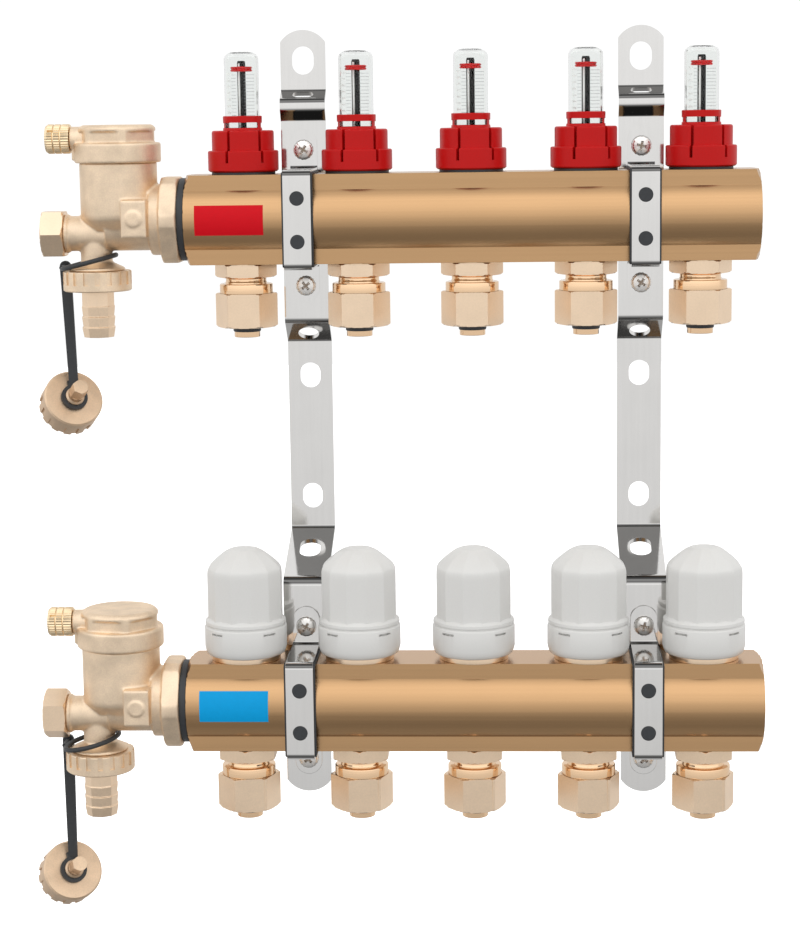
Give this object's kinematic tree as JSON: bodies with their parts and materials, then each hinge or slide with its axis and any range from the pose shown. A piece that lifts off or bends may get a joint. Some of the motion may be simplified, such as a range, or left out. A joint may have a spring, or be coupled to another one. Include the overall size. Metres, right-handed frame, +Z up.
{
  "type": "underfloor heating manifold",
  "caption": "Brass underfloor heating manifold: flow-meter bar over thermostatic-valve bar on steel wall brackets, with air vents and drain units at one end.",
  "frame": {"origin": "on the wall plane, at the centre of the left bracket's two wall slots", "axes": "+X to the right along the bars, -Y out from the wall towards the viewer, +Z up"},
  "size_m": [0.324, 0.0847, 0.3905],
  "materials": {
    "brass": "drawn and turned, satin",
    "cast": "hot pressed and blasted, matt",
    "steel": "bright zinc plated",
    "rubber": "matt",
    "clear": "clear moulded",
    "red": "moulded, semi gloss",
    "white": "moulded, fine texture"
  },
  "bodies": {
    "manifold": {"supply_bar": "brass", "return_bar": "brass", "left_bracket": "steel", "right_bracket": "steel", "supply_clamps": "steel", "return_clamps": "steel", "clamp_liners": "rubber", "clamp_screws": "steel", "clamp_nuts": "steel", "supply_nipples": "brass", "return_nipples": "brass", "supply_nuts": "cast", "return_nuts": "cast", "squeeze_rings": "brass", "pipe_inserts": "brass", "insert_orings": "rubber", "flow_bodies": "brass", "flow_seals": "rubber", "sight_glasses": "clear", "valve_inserts": "brass", "supply_end_body": "cast", "return_end_body": "cast", "end_seals": "rubber", "vent_lids": "cast", "drain_bonnets": "cast", "hose_tails": "cast", "tether_loops": "rubber"},
    "flow_ring_1": {"flow_ring_1": "red"},
    "flow_indicator_1": {"flow_indicator_1": "red"},
    "flow_ring_2": {"flow_ring_2": "red"},
    "flow_indicator_2": {"flow_indicator_2": "red"},
    "flow_ring_3": {"flow_ring_3": "red"},
    "flow_indicator_3": {"flow_indicator_3": "red"},
    "flow_ring_4": {"flow_ring_4": "red"},
    "flow_indicator_4": {"flow_indicator_4": "red"},
    "flow_ring_5": {"flow_ring_5": "red"},
    "flow_indicator_5": {"flow_indicator_5": "red"},
    "handwheel_1": {"handwheel_1": "white"},
    "valve_pin_1": {"valve_pin_1": "steel"},
    "handwheel_2": {"handwheel_2": "white"},
    "valve_pin_2": {"valve_pin_2": "steel"},
    "handwheel_3": {"handwheel_3": "white"},
    "valve_pin_3": {"valve_pin_3": "steel"},
    "handwheel_4": {"handwheel_4": "white"},
    "valve_pin_4": {"valve_pin_4": "steel"},
    "handwheel_5": {"handwheel_5": "white"},
    "valve_pin_5": {"valve_pin_5": "steel"},
    "supply_vent_cap": {"supply_vent_cap": "cast"},
    "supply_drain_spindle": {"supply_drain_spindle": "brass"},
    "supply_union_nut": {"supply_union_nut": "cast"},
    "supply_tether": {"supply_tether": "rubber"},
    "supply_drain_cap": {"supply_drain_cap": "cast"},
    "return_vent_cap": {"return_vent_cap": "cast"},
    "return_drain_spindle": {"return_drain_spindle": "brass"},
    "return_union_nut": {"return_union_nut": "cast"},
    "return_tether": {"return_tether": "rubber"},
    "return_drain_cap": {"return_drain_cap": "cast"}
  },
  "joints": [
    {"name": "flow_ring_1_turn", "type": "hinge", "parent": "manifold", "child": "flow_ring_1", "pos_m": [-0.025, -0.03225, 0.136], "axis": [0, 0, 1], "range_deg": [0, 900]},
    {"name": "flow_indicator_1_drop", "type": "slide", "parent": "manifold", "child": "flow_indicator_1", "axis": [0, 0, -1], "range_m": [0, 0.02], "stiffness_N_per_m": 10, "springref_m": -0.005},
    {"name": "flow_ring_2_turn", "type": "hinge", "parent": "manifold", "child": "flow_ring_2", "pos_m": [0.025, -0.03225, 0.136], "axis": [0, 0, 1], "range_deg": [0, 900]},
    {"name": "flow_indicator_2_drop", "type": "slide", "parent": "manifold", "child": "flow_indicator_2", "axis": [0, 0, -1], "range_m": [0, 0.02], "stiffness_N_per_m": 10, "springref_m": -0.005},
    {"name": "flow_ring_3_turn", "type": "hinge", "parent": "manifold", "child": "flow_ring_3", "pos_m": [0.075, -0.03225, 0.136], "axis": [0, 0, 1], "range_deg": [0, 900]},
    {"name": "flow_indicator_3_drop", "type": "slide", "parent": "manifold", "child": "flow_indicator_3", "axis": [0, 0, -1], "range_m": [0, 0.02], "stiffness_N_per_m": 10, "springref_m": -0.005},
    {"name": "flow_ring_4_turn", "type": "hinge", "parent": "manifold", "child": "flow_ring_4", "pos_m": [0.125, -0.03225, 0.136], "axis": [0, 0, 1], "range_deg": [0, 900]},
    {"name": "flow_indicator_4_drop", "type": "slide", "parent": "manifold", "child": "flow_indicator_4", "axis": [0, 0, -1], "range_m": [0, 0.02], "stiffness_N_per_m": 10, "springref_m": -0.005},
    {"name": "flow_ring_5_turn", "type": "hinge", "parent": "manifold", "child": "flow_ring_5", "pos_m": [0.175, -0.03225, 0.136], "axis": [0, 0, 1], "range_deg": [0, 900]},
    {"name": "flow_indicator_5_drop", "type": "slide", "parent": "manifold", "child": "flow_indicator_5", "axis": [0, 0, -1], "range_m": [0, 0.02], "stiffness_N_per_m": 10, "springref_m": -0.005},
    {"name": "handwheel_1_turn", "type": "hinge", "parent": "manifold", "child": "handwheel_1", "pos_m": [-0.025, -0.06425, -0.064], "axis": [0, 0, 1], "range_deg": [0, 720]},
    {"name": "valve_pin_1_press", "type": "slide", "parent": "manifold", "child": "valve_pin_1", "axis": [0, 0, -1], "range_m": [0, 0.003]},
    {"name": "handwheel_2_turn", "type": "hinge", "parent": "manifold", "child": "handwheel_2", "pos_m": [0.025, -0.06425, -0.064], "axis": [0, 0, 1], "range_deg": [0, 720]},
    {"name": "valve_pin_2_press", "type": "slide", "parent": "manifold", "child": "valve_pin_2", "axis": [0, 0, -1], "range_m": [0, 0.003]},
    {"name": "handwheel_3_turn", "type": "hinge", "parent": "manifold", "child": "handwheel_3", "pos_m": [0.075, -0.06425, -0.064], "axis": [0, 0, 1], "range_deg": [0, 720]},
    {"name": "valve_pin_3_press", "type": "slide", "parent": "manifold", "child": "valve_pin_3", "axis": [0, 0, -1], "range_m": [0, 0.003]},
    {"name": "handwheel_4_turn", "type": "hinge", "parent": "manifold", "child": "handwheel_4", "pos_m": [0.125, -0.06425, -0.064], "axis": [0, 0, 1], "range_deg": [0, 720]},
    {"name": "valve_pin_4_press", "type": "slide", "parent": "manifold", "child": "valve_pin_4", "axis": [0, 0, -1], "range_m": [0, 0.003]},
    {"name": "handwheel_5_turn", "type": "hinge", "parent": "manifold", "child": "handwheel_5", "pos_m": [0.175, -0.06425, -0.064], "axis": [0, 0, 1], "range_deg": [0, 720]},
    {"name": "valve_pin_5_press", "type": "slide", "parent": "manifold", "child": "valve_pin_5", "axis": [0, 0, -1], "range_m": [0, 0.003]},
    {"name": "supply_vent_cap_turn", "type": "hinge", "parent": "manifold", "child": "supply_vent_cap", "pos_m": [-0.105, -0.03225, 0.1368], "axis": [1, 0, 0], "range_deg": [0, 360]},
    {"name": "supply_drain_spindle_turn", "type": "hinge", "parent": "manifold", "child": "supply_drain_spindle", "pos_m": [-0.108, -0.03225, 0.0953], "axis": [1, 0, 0], "range_deg": [0, 90]},
    {"name": "supply_union_nut_turn", "type": "hinge", "parent": "manifold", "child": "supply_union_nut", "pos_m": [-0.0913, -0.03225, 0.0744], "axis": [0, 0, 1], "continuous": true},
    {"name": "supply_tether_swing", "type": "hinge", "parent": "manifold", "child": "supply_tether", "pos_m": [-0.1076, -0.02125, 0.0801], "axis": [0, 1, 0], "range_deg": [0, 45]},
    {"name": "supply_drain_cap_spin", "type": "hinge", "parent": "supply_tether", "child": "supply_drain_cap", "pos_m": [-0.1056, -0.02285, 0.0207], "axis": [0.4096, -0.7695, 0.49], "continuous": true},
    {"name": "return_vent_cap_turn", "type": "hinge", "parent": "manifold", "child": "return_vent_cap", "pos_m": [-0.105, -0.06425, -0.0732], "axis": [1, 0, 0], "range_deg": [0, 360]},
    {"name": "return_drain_spindle_turn", "type": "hinge", "parent": "manifold", "child": "return_drain_spindle", "pos_m": [-0.108, -0.06425, -0.1147], "axis": [1, 0, 0], "range_deg": [0, 90]},
    {"name": "return_union_nut_turn", "type": "hinge", "parent": "manifold", "child": "return_union_nut", "pos_m": [-0.0913, -0.06425, -0.1356], "axis": [0, 0, 1], "continuous": true},
    {"name": "return_tether_swing", "type": "hinge", "parent": "manifold", "child": "return_tether", "pos_m": [-0.1076, -0.05325, -0.1299], "axis": [0, 1, 0], "range_deg": [0, 45]},
    {"name": "return_drain_cap_spin", "type": "hinge", "parent": "return_tether", "child": "return_drain_cap", "pos_m": [-0.1073, -0.05485, -0.1903], "axis": [0.4096, -0.7695, 0.49], "continuous": true}
  ],
  "couplings": [
    {"joint": "valve_pin_1_press", "follows": "handwheel_1_turn", "m_per_rad": 0.0002387},
    {"joint": "valve_pin_2_press", "follows": "handwheel_2_turn", "m_per_rad": 0.0002387},
    {"joint": "valve_pin_3_press", "follows": "handwheel_3_turn", "m_per_rad": 0.0002387},
    {"joint": "valve_pin_4_press", "follows": "handwheel_4_turn", "m_per_rad": 0.0002387},
    {"joint": "valve_pin_5_press", "follows": "handwheel_5_turn", "m_per_rad": 0.0002387}
  ]
}
